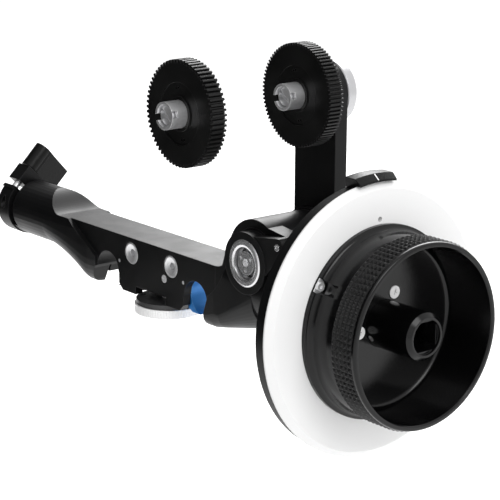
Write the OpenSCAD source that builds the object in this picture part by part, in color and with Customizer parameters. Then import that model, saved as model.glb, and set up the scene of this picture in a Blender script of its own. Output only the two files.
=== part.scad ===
// Follow focus unit on a two-rod bridge: handwheel, gear housing, swing arm and lens gears.
// X runs along the bridge towards the handwheel, Y to the rear along the rods, Z up.
// The origin lies midway between the two rod axes, in the middle of the bar's thickness.

/* [Rods and rod notches] */
// Diameter of the support rods
rod_d = 15; // [12:0.5:19]
// Distance between the two rod axes
rod_gap = 60; // [54:1:80]
// Room between a rod and the straight inner wall of its notch
notch_clear = 0.3; // [0.1:0.1:1]

/* [Bridge bar] */
// Thickness of the bar along the rods
bar_t = 18.2; // [15:0.2:26]
// Height of the bar's top above the rod axes
bar_top = 16.5; // [14:0.5:22]
// Depth of the bar's middle foot below the rod axes
bar_foot = 7; // [5:0.2:9]
// Right end of the bar, measured from the origin
bar_end = 42.7; // [41:0.1:46]
// Thickness of each cheek beside the jaw slot
cheek_t = 3.5; // [2.5:0.1:5]
// Chamfer on the foot's corners
foot_chamfer = 2.6; // [1:0.2:4]
// Diameter of the countersunk screws in the front
bar_screw_d = 9.4; // [5:0.2:10]
// Distance between the two countersunk screws
bar_screw_gap = 27; // [22:1:32]

/* [Left receiver] */
// Outside radius of the round boss
boss_r = 12; // [11:0.5:14]
// Outside radius of the split clamp band
band_r = 12.5; // [11.5:0.5:15]
// Radius of the receiver bore
socket_r = 7.5; // [6:0.25:9]
// Depth of the receiver bore
socket_depth = 30; // [20:1:36]
// Distance from the origin to the left end face
left_reach = 110.3; // [105:0.5:125]
// Width of the clamp band
band_w = 8.3; // [7:0.1:12]
// Width of the cuts that free the clamp band
saw_cut = 3.3; // [1:0.1:3.6]
// Height of the clamp band's ear above the receiver axis, along the clamp screw
ear_top = 12.3; // [11.3:0.1:13]
// Length of the clamp lever, from its screw to the wing's tip
lever_len = 17.5; // [14:0.5:24]
// Height of the clamp lever
lever_h = 11.4; // [8:0.2:15]

/* [Drive] */
// Height of the handwheel axis above the rod axes
wheel_z = 12.2; // [11:0.1:13.5]
// Distance from the origin to the output shaft, along the bridge
out_x = 67.8; // [66:0.1:72]
// Module of the gears inside
gear_m = 0.5; // [0.4:0.05:0.5]
// Teeth on each of the two transfer gears
transfer_teeth = 23; // [21:1:25]
// Teeth on each gear inside the arm
arm_teeth = 31; // [27:1:31]
// Pitch radius of the two mitre gears
mitre_r = 7; // [6:0.25:7.5]
// Teeth on each mitre gear
mitre_teeth = 16; // [12:1:20]
// Radius of the handwheel shaft
shaft_r = 4; // [3:0.25:4.5]
// Radius of the output shaft
out_shaft_r = 3; // [2.5:0.25:3.5]

/* [Gear housing] */
// Outside radius of the barrel round the output shaft
barrel_r = 16.3; // [15.5:0.1:18]
// Front end of the barrel, in front of the bar's middle plane
barrel_front = 9.4; // [9.4:0.1:11]
// Front face of the housing and its cover
house_front = 14.6; // [14.2:0.2:17]
// Outside radius of the tube round the handwheel shaft
tube_r = 14.5; // [13.5:0.25:15.5]
// Radius of the bright ring round the front drive port
port_ring_r = 9.2; // [8:0.2:9.6]

/* [Handwheel] */
// Distance from the origin to the back of the marking disc
disc_x = 124.1; // [120:0.1:132]
// Radius of the marking disc
disc_r = 51.6; // [46:0.2:58]
// Thickness of the marking disc
disc_t = 3; // [2:0.1:4]
// Thickness of the index ring behind the disc
ring_t = 5; // [3:0.1:6]
// Radius of the knob's gripping band
knob_r = 35.2; // [33:0.2:40]
// Length of the knob, from the disc's face to its front lip
knob_len = 25.9; // [24:0.1:34]
// Radius of the knob's rear flange
flange_r = 36.4; // [36:0.2:42]
// Height of the knob's floor above the disc's face
floor_h = 3.4; // [2.6:0.2:9.4]
// Radius of the central hub
hub_r = 8.9; // [8:0.1:10]
// Width across the square crank socket
crank_sq = 10.8; // [8:0.2:11]
// Depth of the crank socket
crank_depth = 12; // [8:0.5:14]

/* [Swing arm and lens gears] */
// Width of the arm
arm_w = 23.6; // [22:0.2:28]
// Thickness of the arm
arm_t = 5.8; // [5:0.1:8]
// Rear face of the housing's barrel, behind the bar's middle plane
barrel_back = 19.4; // [18.6:0.2:24]
// Teeth on the mounted lens gear
lens_teeth = 78; // [60:1:84]
// Module of the mounted lens gear
lens_m = 0.5; // [0.4:0.1:0.6]
// Teeth on the spare lens gear
spare_teeth = 64; // [50:1:72]
// Module of the spare lens gear
spare_m = 0.6; // [0.5:0.1:0.8]
// Width of the lens gears
lens_gear_w = 6.5; // [5:0.1:10]
// Radius of the lens gears' bright hubs
gear_hub_r = 5.15; // [4.5:0.05:6]
// Length that a lens gear's hub stands out in front
gear_hub_len = 6.8; // [5:0.1:12]
// Radius of the locking knob behind the arm
lock_r = 12.2; // [10:0.2:15]

// Distance from the origin to the spare gear's axis, along the bridge
spare_x = 71; // [60:0.2:90]
// Distance from the bar's middle plane to the spare gear's front face
spare_out = 48; // [36:0.5:70]
// Height of the spare gear's axis above the rod axes
spare_z = 85.7; // [80:0.1:110]

/* [Clamp knob] */
// Radius of the ribbed clamp knob under the bar
thumb_r = 14; // [11:0.5:18]
// Number of ribs on the clamp knob
thumb_ribs = 72; // [40:4:100]

/* [Hidden] */
$fn = 64;

// Clearances that the pieces share
fit = 0.05;
gap = 0.3;
eps = 0.01;
soft = 32;

// Driving places
rod_x = rod_gap / 2;
rod_r = rod_d / 2;
foot_x = rod_x - rod_r - notch_clear;
half_t = bar_t / 2;
slot_y = half_t - cheek_t;
out_z = wheel_z + gear_m * transfer_teeth;
arm_step = gear_m * arm_teeth;
lens_z = out_z + 4 * arm_step;

// Turns a piece modelled along +Z so that it runs along +X or +Y
module along_x() { rotate([0, 90, 0]) children(); }
module along_y() { rotate([-90, 0, 0]) children(); }
// A rod between two X stations, and one between two Y stations
module bar_x(r, x0, x1) { translate([x0, 0, 0]) along_x() cylinder(r = r, h = x1 - x0); }
module bar_y(r, y0, y1) { translate([0, y0, 0]) along_y() cylinder(r = r, h = y1 - y0); }
// A ring between two stations
module ring_x(r, hole, x0, x1) {
    difference() {
        bar_x(r, x0, x1);
        bar_x(hole, x0 - 1, x1 + 1);
    }
}
module ring_y(r, hole, y0, y1) {
    difference() {
        bar_y(r, y0, y1);
        bar_y(hole, y0 - 1, y1 + 1);
    }
}
// A drawing in the XZ plane, extruded between two Y stations
module plate_y(y0, y1) {
    translate([0, y1, 0]) rotate([90, 0, 0]) linear_extrude(height = y1 - y0) children();
}
// A drawing in the YZ plane, extruded between two X stations
module plate_x(x0, x1) {
    translate([x0, 0, 0]) rotate([90, 0, 90]) linear_extrude(height = x1 - x0) children();
}
// A shape turned about the X axis, drawn as [radius, x]
module turned_x() { rotate([0, 90, 0]) rotate_extrude() children(); }

// Spur gear outline with straight-flanked teeth, one tooth centred on +X.
// foot and tip are half the tooth's width at its root and at its top, as shares of the pitch.
module gear_2d(m, teeth, slack = 0.08, foot = 0.32, tip = 0.11, depth = 2.25) {
    r_out = m * (teeth + 2) / 2 - slack;
    r_root = m * (teeth + 2) / 2 - m * depth;
    step = 360 / teeth;
    polygon([for (i = [0 : teeth - 1], k = [0 : 3])
        let (a = (i + [-foot, -tip, tip, foot][k]) * step,
             r = [r_root, r_out, r_out, r_root][k])
        [r * cos(a), r * sin(a)]]);
}
// Spur gear along Y with a round bore
module gear_y(m, teeth, phase, bore, y0, y1) {
    difference() {
        plate_y(y0, y1) rotate(phase) gear_2d(m, teeth);
        bar_y(bore, y0 - 1, y1 + 1);
    }
}
// Bevel teeth on a 45 degree pitch cone, running from the large end along +Z
mitre_face = mitre_r * 0.42;
module mitre_teeth_z(phase) {
    linear_extrude(height = mitre_face, scale = 1 - mitre_face / mitre_r)
        rotate(phase) gear_2d(2 * mitre_r / mitre_teeth, mitre_teeth, 0.2);
}

// ---------------------------------------------------------------- bridge bar
band_x = -left_reach + band_w;
// The clamp screw leans back by this angle, and stands this far in front of the axis
lever_tilt = -45;
screw_u = -0.816 * band_r;
ear_front = screw_u - 3.1;
lever_screw_r = 1.55;
ear_root = (socket_r + band_r) / 2 + 1;
split_w = 1.2;
bar_screw_z = 9.9;
bar_screws_x = [-bar_screw_gap / 2, bar_screw_gap / 2];
pivot_x = foot_x - 0.3;
pivot_z = 5.1;
jaw_pin_r = 0.75;
guide_spot = [9.2, -half_t, 3.9];
guide_r = 1.7;
// Housing bolts, as [y, z] on the bar's end face, and how far they reach into it
bolt_spots = [[-5.4, 3.6], [5.4, 12.6]];
bolt_r = 1.5;
bolt_grip = 4.6;
// The leg starts to drop at leg_x0 and ends in its tip at leg_x1
leg_x0 = -rod_x - 46;
leg_x1 = -rod_x - rod_r - 0.1;
leg_drop = 11.6;
leg_foot = -8.9;
leg_rise = 4.3;
// The left wall of the left notch, and the top of the slanting edge between the boss and the flat faces
notch_left = -rod_x - 12.4;
slant_x = -rod_x - 27.2;
// Stations of the fade from the boss to the bar's top
fade_x0 = -rod_x - 50.5;
fade_x1 = -rod_x - 33.5;
module bar_outline() {
    polygon([[leg_x0 + 24, bar_top], [bar_end, bar_top], [bar_end, 0], [foot_x, 0],
        [foot_x, foot_chamfer - bar_foot], [foot_x - foot_chamfer, -bar_foot],
        [foot_chamfer - foot_x, -bar_foot], [-foot_x, foot_chamfer - bar_foot], [-foot_x, 0],
        [leg_x0 + 24, 0]]);
}
// One section of the leg: round at the boss, squarer and deeper towards the tip
leg_points = 40;
function leg_share(x) = max(0, min(1, (x - leg_x0) / (leg_x1 - 6 - leg_x0)));
function signed_pow(v, n) = sign(v) * pow(abs(v), n);
function leg_ring(x) =
    let (s = leg_share(x),
         w = boss_r - 1.2 * s * s,
         d = min(boss_r + leg_drop * s * s, wheel_z - leg_foot),
         n = 2 / (2 + 2 * s))
    [for (i = [0 : leg_points - 1]) let (a = (i + 0.5) * 360 / leg_points)
        sin(a) > 0 ? [x, w * cos(a), wheel_z + w * sin(a)]
                   : [x, w * signed_pow(cos(a), n), wheel_z - d * pow(-sin(a), n)]];
// The boss and the leg in one piece, a round bar that bends down to the tip
module boss_and_leg() {
    stations = concat([band_x], [for (x = leg_x0; x < leg_x1; x = x + 2.5) x], [leg_x1]);
    rings = len(stations);
    polyhedron(
        points = [for (x = stations) each leg_ring(x)],
        faces = concat([[for (i = [0 : leg_points - 1]) i]],
            [for (k = [0 : rings - 2], i = [0 : leg_points - 1])
                let (a = k * leg_points + i, b = k * leg_points + (i + 1) % leg_points)
                [a, a + leg_points, b + leg_points, b]],
            [[for (i = [leg_points - 1 : -1 : 0]) (rings - 1) * leg_points + i]]));
}
module left_body() {
    difference() {
        boss_and_leg();
        // the boss's top fades into the bar's top in a long sweep
        plate_y(-2 * boss_r, 2 * boss_r)
            polygon(concat([[fade_x0, wheel_z + boss_r + 1]],
                [for (t = [0 : 10 : 180])
                    [fade_x0 + (fade_x1 - fade_x0) * t / 180,
                     bar_top + (wheel_z + boss_r - bar_top + 0.02) * (1 + cos(t)) / 2]],
                [[0, bar_top], [0, wheel_z + boss_r + 1]]));
        // flat front and rear faces right of the slanting edge
        for (s = [-1, 1]) translate([0, s * (half_t + boss_r / 2), 0]) plate_y(-boss_r / 2, boss_r / 2)
            polygon([[slant_x, bar_top + 10], [slant_x, bar_top], [leg_x1, 4], [-rod_x, 0], [0, 0],
                [0, bar_top + 10]]);
        // the tip is stepped up behind its front lip
        translate([leg_x1 - 20, -2.3, leg_foot - 4]) cube([25, 2 * boss_r, 4 + leg_rise]);
        translate([notch_left - 1, -2.3, leg_foot - 1]) cube([10, 0.9, 2 * leg_rise]);
    }
}
// The split clamp band with its ear, and the screw's slanting line through it
module on_lever_axis() {
    translate([-left_reach + band_w / 2, 0, wheel_z]) rotate([lever_tilt, 0, 0])
        translate([0, screw_u, 0]) children();
}
module clamp_band() {
    translate([0, 0, wheel_z]) {
        bar_x(band_r, -left_reach, band_x);
        rotate([lever_tilt, 0, 0]) plate_x(-left_reach, band_x)
            polygon([[ear_front, -0.5], [ear_front, ear_top], [1, ear_top],
                [0, ear_root], [-ear_root, 1]]);
    }
}
module jaw_slot() {
    translate([-foot_x - 1, -slot_y, -bar_foot - 1]) cube([2 * foot_x + 2, 2 * slot_y, bar_foot + 2.8]);
    for (s = [-1, 1]) hull() {
        translate([s * pivot_x, 0, pivot_z]) bar_y(3.4, -slot_y, slot_y);
        translate([s * (pivot_x + 2.3), 0, pivot_z + 1.3]) bar_y(3.4, -slot_y, slot_y);
        translate([s * pivot_x, 0, 0]) bar_y(3.4, -slot_y, slot_y);
    }
}
module rod_cut(s) {
    translate([s * rod_x, 0, 0]) bar_y(rod_r, -half_t - 6, half_t + 6);
}
module bridge_bar() {
    color("#1c1c1e") difference() {
        union() {
            plate_y(-half_t, half_t) bar_outline();
            left_body();
            clamp_band();
        }
        for (s = [-1, 1]) rod_cut(s);
        plate_y(-half_t - 6, half_t + 6)
            polygon([[-foot_x, 0], [-foot_x, -20], [notch_left, -20], [notch_left, leg_foot],
                [notch_left + 1, leg_foot + 1.5], [-rod_x - rod_r - 1.1, -1.5], [-rod_x - rod_r, 0]]);
        jaw_slot();
        // window in the front and rear cheek over the clamp plate
        translate([-10.4, -half_t - 1, -bar_foot - 1]) cube([20.8, bar_t + 2, 4.4]);
        // clearance for the clamp screw above the slot
        cylinder(r = 3.2, h = 6, center = true);
        // countersinks and pilot holes of the two bar screws
        for (x = bar_screws_x) translate([x, -half_t, bar_screw_z]) {
            bar_y(bar_screw_d / 2 + fit, -1, 2.6);
            bar_y(2 + fit, 0, 9);
        }
        for (s = [-1, 1]) translate([s * pivot_x, 0, pivot_z])
            bar_y(jaw_pin_r + fit, -half_t - 1, half_t + 1);
        translate(guide_spot) bar_y(guide_r + fit, -1, 1.2);
        // receiver bore, the cuts that free the band, and the hole for the clamp screw
        translate([0, 0, wheel_z]) {
            bar_x(socket_r, -left_reach - 1, -left_reach + socket_depth);
            translate([band_x, -2 * boss_r, -boss_r * 0.6]) cube([saw_cut, 4 * boss_r, 3 * boss_r]);
            rotate([lever_tilt, 0, 0]) translate([-left_reach - 1, -2 * boss_r, split_w])
                cube([band_w + 1 + eps, 2 * boss_r, saw_cut]);
        }
        on_lever_axis() translate([0, 0, -16]) cylinder(r = lever_screw_r + fit, h = 40);
        // tapped holes for the housing bolts
        for (b = bolt_spots) translate([0, b[0], b[1]])
            bar_x(bolt_r + fit, bar_end - bolt_grip - 0.4, bar_end + 1);
    }
}
module bar_screws() {
    color("silver") for (x = bar_screws_x) translate([x, -half_t, bar_screw_z]) difference() {
        rotate([-90, 0, 0]) rotate_extrude() polygon([[0, 0.2], [bar_screw_d / 2 - 0.3, 0.2],
            [bar_screw_d / 2, 0.5], [bar_screw_d / 2, 2.4], [2, 2.4], [2, 8.8], [0, 8.8]]);
        // dished face with a hexagon socket
        rotate([-90, 0, 0]) translate([0, 0, -7.3]) sphere(r = 8.4);
        rotate([-90, 0, 0]) cylinder(r = 1.8, h = 3.6, $fn = 6);
    }
}
module jaw_pins() {
    color("silver") for (s = [-1, 1]) translate([s * pivot_x, 0, pivot_z])
        bar_y(jaw_pin_r, -half_t + 0.1, half_t - 0.1);
}
module guide_screw() {
    color("silver") translate(guide_spot) difference() {
        bar_y(guide_r, 0.1, 1.15);
        bar_y(0.5, -1, 0.6, $fn = 6);
    }
}

// ---------------------------------------------------------------- rod clamp
jaw_y = slot_y - gap;
tail_z = -4.8;
tail_half = 1.1;
tail_end = 9;
// The right jaw hugs the rod from the notch's top to a lip below the bar's foot.
// Its tail runs in under the clamp plate.
lip_t = 1.1;
lip_x1 = rod_x - 1.6;
module jaw() {
    pad_foot = -bar_foot - 0.4;
    difference() {
        union() {
            bar_at_pivot(3, jaw_y);
            plate_y(-jaw_y, jaw_y)
                polygon([[pivot_x - 2.2, pivot_z], [pivot_x, pivot_z + 2.2], [rod_x - 3.6, rod_r + 0.2],
                    [rod_x - 1, 0], [rod_x - 3.4, pad_foot + lip_t], [lip_x1, pad_foot + lip_t],
                    [lip_x1, pad_foot], [pivot_x + 1.4, pad_foot], [pivot_x - 1.7, tail_z - tail_half],
                    [tail_end + 1, tail_z - tail_half], [tail_end, tail_z], [tail_end, tail_z + tail_half],
                    [pivot_x - 2.2, tail_z + tail_half]]);
        }
        translate([rod_x, 0, 0]) bar_y(rod_r + fit, -jaw_y - 1, jaw_y + 1);
        bar_at_pivot(jaw_pin_r + fit, jaw_y + 1);
    }
}
module bar_at_pivot(r, half) { translate([pivot_x, 0, pivot_z]) bar_y(r, -half, half); }
module left_jaw() { color("#2a2a2c") mirror([1, 0, 0]) jaw(); }
module right_jaw() { color("#2f7cc4") jaw(); }
plate_z = tail_z + tail_half + fit;
plate_half = 13;
plate_t = 2;
clamp_screw_r = 2.5;
module clamp_plate() {
    color("#262628") difference() {
        translate([-plate_half, -jaw_y, plate_z]) cube([2 * plate_half, 2 * jaw_y, plate_t]);
        translate([0, 0, plate_z - 1]) cylinder(r = clamp_screw_r + fit, h = plate_t + 2);
    }
}
module clamp_screw() {
    color("silver") translate([0, 0, knob_top - thumb_h + 0.9]) cylinder(r = clamp_screw_r,
        h = plate_z + plate_t - 0.1 - (knob_top - thumb_h + 0.9));
}
knob_top = -bar_foot - gap;
thumb_h = 5.6;
module thumb_knob_disc() {
    color("#202022") translate([0, 0, knob_top - 2]) difference() {
        cylinder(r = thumb_r - 0.7, h = 2);
        translate([0, 0, -1]) cylinder(r = clamp_screw_r + fit, h = 4);
        translate([-9.5, -6, 1]) cylinder(r = 1.3, h = 2);
    }
}
module thumb_knob() {
    color("silver") translate([0, 0, knob_top - thumb_h]) difference() {
        cylinder(r = thumb_r, h = 3.55);
        translate([0, 0, -1]) cylinder(r = clamp_screw_r + fit, h = 6);
        for (i = [0 : thumb_ribs - 1]) rotate(i * 360 / thumb_ribs)
            translate([thumb_r, 0, -1]) cylinder(r = thumb_r / thumb_ribs, h = 6, $fn = 4);
    }
}

// ---------------------------------------------------------------- left clamp lever
lever_foot = max(ear_top, band_r) + 0.12;
lever_hub_r = 3.85;
lever_screw_foot = 3.4;
module lever_screw() {
    color("silver") on_lever_axis() translate([0, 0, -lever_screw_foot])
        cylinder(r = lever_screw_r, h = lever_screw_foot + lever_foot + 6);
}
module clamp_lever() {
    tip_r = 0.6;
    color("#151517") on_lever_axis() translate([0, 0, lever_foot]) difference() {
        union() {
            cylinder(r = lever_hub_r, h = lever_h);
            hull() {
                translate([0, 1.6, 0]) cylinder(r = lever_hub_r - 0.6, h = lever_h, $fn = soft);
                translate([0, lever_len - tip_r, 0]) cylinder(r = tip_r, h = lever_h, $fn = soft);
            }
            // the ridge where the wing leaves the hub
            translate([-lever_hub_r + 0.3, 1.7, 0]) cube([2 * lever_hub_r - 0.6, 1.1, lever_h]);
        }
        translate([0, 0, -1]) cylinder(r = lever_screw_r + fit, h = 7.1);
    }
}

// ---------------------------------------------------------------- gear housing
lobe_l = bar_end - 1;
cap_x = disc_x - ring_t - 7.6;
// Puts a piece on the handwheel axis, and on the output axis
module at_wheel() { translate([0, 0, wheel_z]) children(); }
module at_out() { translate([out_x, 0, out_z]) children(); }
module at_lay() { translate([out_x, 0, wheel_z]) children(); }
module at_lens() { translate([out_x, 0, lens_z]) children(); }
// Lower lobe: a rounded box beside the right rod that turns into the round tube
module lobe() {
    hull() {
        plate_x(lobe_l, lobe_l + 5) hull() for (y = [-1, 1])
            translate([y * (house_front - 5), -2.8]) circle(r = 4.6, $fn = soft);
        plate_x(bar_end + 6, bar_end + 9) hull() for (y = [-1, 1]) {
            translate([y * (house_front - 6), -0.6]) circle(r = 6, $fn = soft);
            translate([y * (house_front - 6), wheel_z + 4]) circle(r = 6, $fn = soft);
        }
        translate([out_x - 2, 0, wheel_z - 1.4]) along_x() cylinder(r = house_front - 0.1, h = 6, $fn = 48);
    }
}
flank = [rod_x + 2.3, 26.3];
flank_r = 24;
sweep_r = 9;
// The cover's ear and its screw, seen from the output axis
ear = [18.6, 9.9];
ear_r = 3.4;
cover_screw_r = 1.3;
module ear_outline(disc, tip) {
    hull() {
        circle(r = disc, $fn = soft);
        translate(ear) circle(r = tip, $fn = soft);
    }
}
module housing_outer() {
    difference() {
        union() {
            difference() {
                lobe();
                // its front and its rear stand back to the bar's faces inside this round edge
                for (y = [-house_front - 1, half_t]) translate([flank[0], 0, flank[1]])
                    bar_y(flank_r, y, y + house_front + 1 - half_t);
            }
            at_wheel() bar_x(tube_r, out_x, cap_x);
            at_out() bar_y(barrel_r, -barrel_front, barrel_back - 2.4);
            at_out() bar_y(barrel_r + 0.8, barrel_back - 2.4, barrel_back);
            // the bar's top runs up into the barrel in a concave sweep
            plate_y(-half_t, half_t) polygon(concat([[out_x, 0], [bar_end, 0]],
                [for (t = [0 : 10 : 80]) [bar_end + sweep_r * sin(t), bar_top + sweep_r * (1 - cos(t))]],
                [[out_x, bar_top + sweep_r]]));
            // the lug behind the cover's ear
            at_out() plate_y(-barrel_front, -barrel_front + 7) ear_outline(barrel_r - 1, ear_r - 0.2);
        }
        // room for the bar's end and the right rod
        translate([bar_end - 30, -half_t - eps, 0]) cube([30, bar_t + 2 * eps, bar_top + 1]);
        rod_cut(1);
        translate([rod_x + rod_r - 20, -20, -20]) cube([20, 40, 20]);
        // seat of the round front cover
        at_out() bar_y(port_ring_r + 3, -house_front - 1, -barrel_front);
        at_out() plate_y(-house_front - 1, -barrel_front) ear_outline(port_ring_r + 1.3, ear_r + 0.1);
        at_out() translate([ear[0], 0, ear[1]]) bar_y(cover_screw_r + fit, -house_front, -barrel_front + 2.5);
    }
}
bearing_r = 9.5;
lay_r = 2.5;
lay_rear = 12.6;
transfer_y = [9.4, 12.2];
module gear_housing() {
    color("#1c1c1e") difference() {
        housing_outer();
        at_out() bar_y(barrel_r - 3.3, -barrel_front - 1, barrel_back - 3.6);
        at_lay() bar_y(mitre_r + 1.6, -mitre_r - 0.3, lay_rear - 0.1);
        at_lay() bar_y(3.5 + fit, -barrel_front + 0.4, 0);
        at_lay() bar_y(3.5 + fit, 0, barrel_back - 2.4);
        at_out() bar_y(6 + fit, 0, barrel_back + 1);
        at_wheel() bar_x(bearing_r + fit, out_x, cap_x + 1);
        for (b = bolt_spots) translate([0, b[0], b[1]]) {
            bar_x(bolt_r + fit, bar_end - 1, bar_end + 14);
            bar_x(2.8, bar_end + 5, out_x - mitre_r);
        }
    }
}
module housing_bolts() {
    color("#2c2c2e") for (b = bolt_spots) translate([0, b[0], b[1]]) {
        bar_x(bolt_r, bar_end - bolt_grip, bar_end + 5.05);
        difference() {
            bar_x(2.7, bar_end + 5.05, bar_end + 8);
            translate([bar_end + 6.4, 0, 0]) along_x() cylinder(r = 1.4, h = 3, $fn = 6);
        }
    }
}
module front_cover() {
    color("#1a1a1c") at_out() difference() {
        union() {
            bar_y(port_ring_r + 3 - fit, -house_front, -barrel_front - fit);
            bar_y(barrel_r - 3.3 - fit, -barrel_front - fit, -mitre_r - 1);
            plate_y(-house_front + 0.4, -barrel_front - fit) ear_outline(port_ring_r + 1.2, ear_r);
        }
        bar_y(port_ring_r + fit, -house_front - 1, -house_front + 3);
        bar_y(6 + fit, -house_front - 1, -barrel_front + 3);
        translate([ear[0], 0, ear[1]]) bar_y(cover_screw_r + fit, -house_front - 1, -barrel_front + 3);
        translate([0, 0, wheel_z - out_z]) bar_y(3.5 + fit, -barrel_front + 0.4, 0);
    }
}
module port_ring() {
    color("silver") at_out() rotate([-90, 0, 0]) rotate_extrude() polygon([[6.4, -house_front - 0.1],
        [7.2, -house_front - 0.4], [8.6, -house_front - 0.4], [port_ring_r, -house_front],
        [port_ring_r, -house_front + 3 - fit], [6.1, -house_front + 3 - fit], [6.1, -house_front + 1.2]]);
}
module cover_screws() {
    color("silver") at_out() translate([ear[0], 0, ear[1]]) difference() {
        bar_y(cover_screw_r, -house_front + 0.2, -barrel_front + 1.8);
        translate([0, -house_front - 0.5, 0]) along_y() cylinder(r = 0.6, h = 1.6, $fn = 6);
    }
}
module wheel_tube_cap() {
    color("#1a1a1c") at_wheel() difference() {
        union() {
            bar_x(tube_r + 1.4, cap_x + fit, disc_x - ring_t - 3);
            bar_x(tube_r - 2, disc_x - ring_t - 3, disc_x - 0.4);
            bar_x(bearing_r, cap_x - 3, cap_x + 1);
        }
        bar_x(shaft_r + 0.6, cap_x - 4, disc_x + 1);
        bar_x(bearing_r - 1.5, cap_x - 4, cap_x);
    }
}
module shaft_bearings() {
    color("silver") at_wheel() for (x = [out_x + mitre_r + 5.2, cap_x - 9.3])
        ring_x(bearing_r, shaft_r + fit, x, x + 6);
}
module output_bearings() {
    color("silver") at_out() {
        ring_y(6, out_shaft_r + fit, -barrel_front - 0.6, -barrel_front + 2);
        ring_y(6, out_shaft_r + fit, barrel_back - 3.5, barrel_back);
    }
}
module lay_bushes() {
    color("#b08d57") at_lay() {
        ring_y(3.5, lay_r + fit, -barrel_front + 0.45, -barrel_front + 4);
        ring_y(3.5, lay_r + fit, lay_rear, barrel_back - 2.5);
    }
}
module lay_shaft() { color("silver") at_lay() bar_y(lay_r, -barrel_front + 0.8, barrel_back - 2.8); }
module mitre_wheel() {
    color("#c9a24a") at_lay() difference() {
        union() {
            translate([0, mitre_r, 0]) rotate([90, 0, 0]) mitre_teeth_z(180 / mitre_teeth);
            bar_y(4.6, mitre_r - eps, mitre_r + 1.6);
        }
        bar_y(lay_r + fit, 0, mitre_r + 3);
    }
}
module transfer_pinion() {
    color("#c9a24a") at_lay()
        gear_y(gear_m, transfer_teeth, 90, lay_r + fit, transfer_y[0], transfer_y[1]);
}
module drive_shaft() {
    color("silver") at_wheel() difference() {
        bar_x(shaft_r, out_x + mitre_r - mitre_face, disc_x + 14);
        bar_x(hub_bolt_r + fit, disc_x + 5, disc_x + 15);
    }
}
module mitre_pinion() {
    color("#c9a24a") at_wheel() difference() {
        union() {
            translate([out_x + mitre_r, 0, 0]) rotate([0, -90, 0]) mitre_teeth_z(90);
            bar_x(5.4, out_x + mitre_r - eps, out_x + mitre_r + 2.6);
        }
        bar_x(shaft_r + fit, out_x, out_x + mitre_r + 4);
    }
}
module transfer_wheel() {
    color("#c9a24a") at_out() gear_y(gear_m, transfer_teeth, -90 + 180 / transfer_teeth,
        out_shaft_r + fit, transfer_y[0], transfer_y[1]);
}
module output_shaft() {
    color("silver") at_out() bar_y(out_shaft_r, -house_front + 1.7, barrel_back + arm_t - 1.2);
}
module port_boss() {
    color("silver") at_out() difference() {
        bar_y(4.6, -house_front + 0.6, -barrel_front - 0.9);
        bar_y(out_shaft_r + fit, -house_front + 1.65, 0);
        translate([0, -house_front, 0]) along_y() cylinder(r = 1.7, h = 2, $fn = 6);
        for (a = [90, 210, 330]) rotate([0, a, 0]) translate([3.2, 0, 0])
            bar_y(0.6, -house_front, -house_front + 1.4);
    }
}

// ---------------------------------------------------------------- handwheel
face_x = disc_x + disc_t;
lip_x = face_x + knob_len;
floor_x = face_x + floor_h;
spigot_r = 30;
hub_end = lip_x - 0.1;
hub_bevel = 1.4;
hub_bolt_r = 2;
// Floor screws: turned places round the axis, distance from it, and radius of their heads
floor_screw_angles = [67 : 120 : 307];
floor_screw_r = 12;
floor_head_r = 2.4;
// Flange screws: turned places round the axis, distance from it, and radius of their seats
flange_screw_angles = [28 : 120 : 268];
flange_screw_r = flange_r - 1;
seat_r = 2.75;
seat_x = face_x + 0.8;
module marking_disc() {
    color("#ececec") at_wheel() difference() {
        turned_x() polygon([[spigot_r + fit, disc_x], [disc_r, disc_x], [disc_r, disc_x + 0.6],
            [disc_r - 2.4, face_x], [spigot_r + fit, face_x]]);
        translate([0, 0, 38.1]) bar_x(1, disc_x - 1, face_x + 1);
    }
}
module knob_body() {
    grip_x = lip_x - 12.1;
    waist_r = flange_r - 2.6;
    dish_r = knob_r - 3.2;
    color("#161618") at_wheel() difference() {
        turned_x() polygon(concat(
            [[hub_r + fit, disc_x + 0.3], [spigot_r, disc_x + 0.3], [spigot_r, face_x + fit],
             [flange_r, face_x + fit], [flange_r, face_x + 1.6]],
            [for (a = [0 : 15 : 90])
                [waist_r + (flange_r - 0.4 - waist_r) * (1 - sin(a)), face_x + 6.4 - 4.6 * cos(a)]],
            [[waist_r, grip_x - 1], [waist_r - 0.3, grip_x - 0.3], [knob_r, grip_x], [knob_r, lip_x - 1.7],
             [knob_r - 0.6, lip_x - 1.6]],
            [for (a = [0 : 22.5 : 90]) [knob_r - 1.6 + cos(a), lip_x - 1 + sin(a)]],
            [[dish_r + 0.9, lip_x], [dish_r + 0.4, lip_x - 0.6], [dish_r, floor_x + 2],
             [dish_r - 0.6, floor_x + 0.6], [dish_r - 2, floor_x], [hub_r + fit, floor_x]]));
        for (a = floor_screw_angles) rotate([a, 0, 0]) translate([0, floor_screw_r, 0])
            bar_x(floor_head_r + fit, floor_x - 1.6, floor_x + 1);
        for (a = flange_screw_angles) rotate([a, 0, 0]) translate([0, flange_screw_r, 0])
            bar_x(seat_r + fit, seat_x, face_x + 9);
    }
}
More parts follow.
